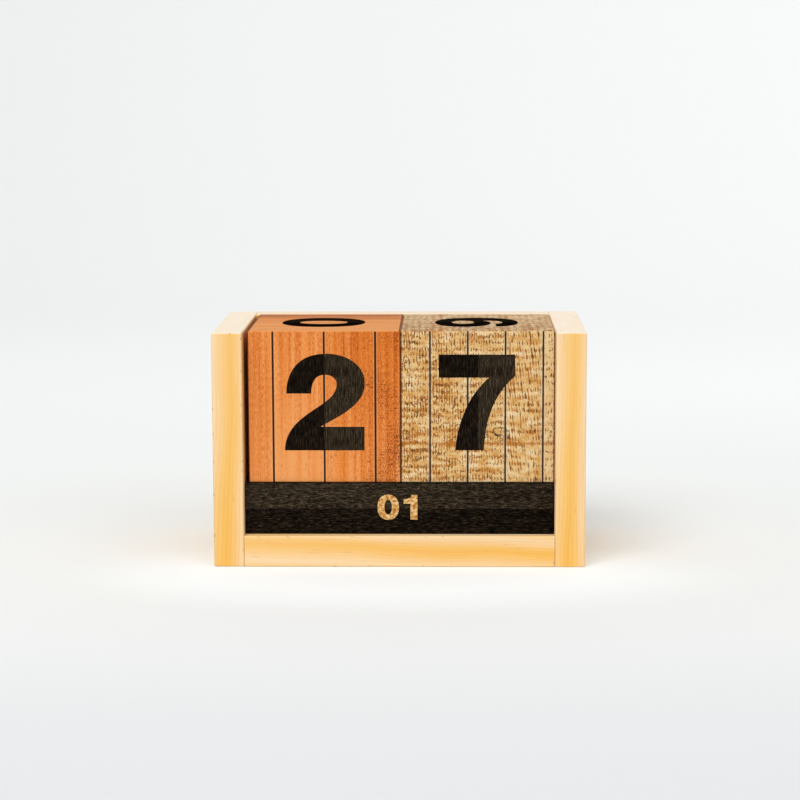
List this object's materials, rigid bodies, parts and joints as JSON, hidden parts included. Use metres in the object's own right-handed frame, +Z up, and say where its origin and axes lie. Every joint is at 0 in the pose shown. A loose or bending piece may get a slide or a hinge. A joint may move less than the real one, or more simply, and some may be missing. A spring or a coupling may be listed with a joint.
{
  "type": "perpetual desk calendar",
  "caption": "Open-topped wooden desk tray that holds loose number cubes on loose square month bars, turned by hand to show the date.",
  "frame": {"origin": "centre of the tray's footprint, on the surface that it stands on", "axes": "+X along the row of cubes, to the right of someone who reads the date; +Y from the front to the back; +Z up"},
  "size_m": [0.1216, 0.0648, 0.0773],
  "materials": {
    "tray_pine": "bare planed pine",
    "pin_steel": "bright steel",
    "orange_plank_print": "printed wood, matt",
    "weathered_plank_print": "printed wood, matt",
    "black_wood_print": "printed wood, matt"
  },
  "bodies": {
    "tray": {"left_side_board": "tray_pine", "right_side_board": "tray_pine", "base_board": "tray_pine", "back_panel": "tray_pine", "base_pins": "pin_steel", "back_pins": "pin_steel"},
    "tens_cube": {"tens_cube": "orange_plank_print"},
    "units_cube": {"units_cube": "weathered_plank_print"},
    "month_bar_rear": {"month_bar_rear": "black_wood_print"},
    "month_bar_middle": {"month_bar_middle": "black_wood_print"},
    "month_bar_front": {"month_bar_front": "black_wood_print"}
  },
  "joints": [
    {"name": "tens_cube_lift", "type": "slide", "parent": "tray", "child": "tens_cube", "axis": [0, 0, 1], "range_m": [0, 0.055]},
    {"name": "units_cube_lift", "type": "slide", "parent": "tray", "child": "units_cube", "axis": [0, 0, 1], "range_m": [0, 0.055]},
    {"name": "rear_bar_slide", "type": "slide", "parent": "tray", "child": "month_bar_rear", "axis": [0, -1, 0], "range_m": [0, 0.056]},
    {"name": "middle_bar_slide", "type": "slide", "parent": "month_bar_rear", "child": "month_bar_middle", "axis": [0, -1, 0], "range_m": [0, 0.039]},
    {"name": "front_bar_slide", "type": "slide", "parent": "month_bar_middle", "child": "month_bar_front", "axis": [0, -1, 0], "range_m": [0, 0.022]}
  ]
}
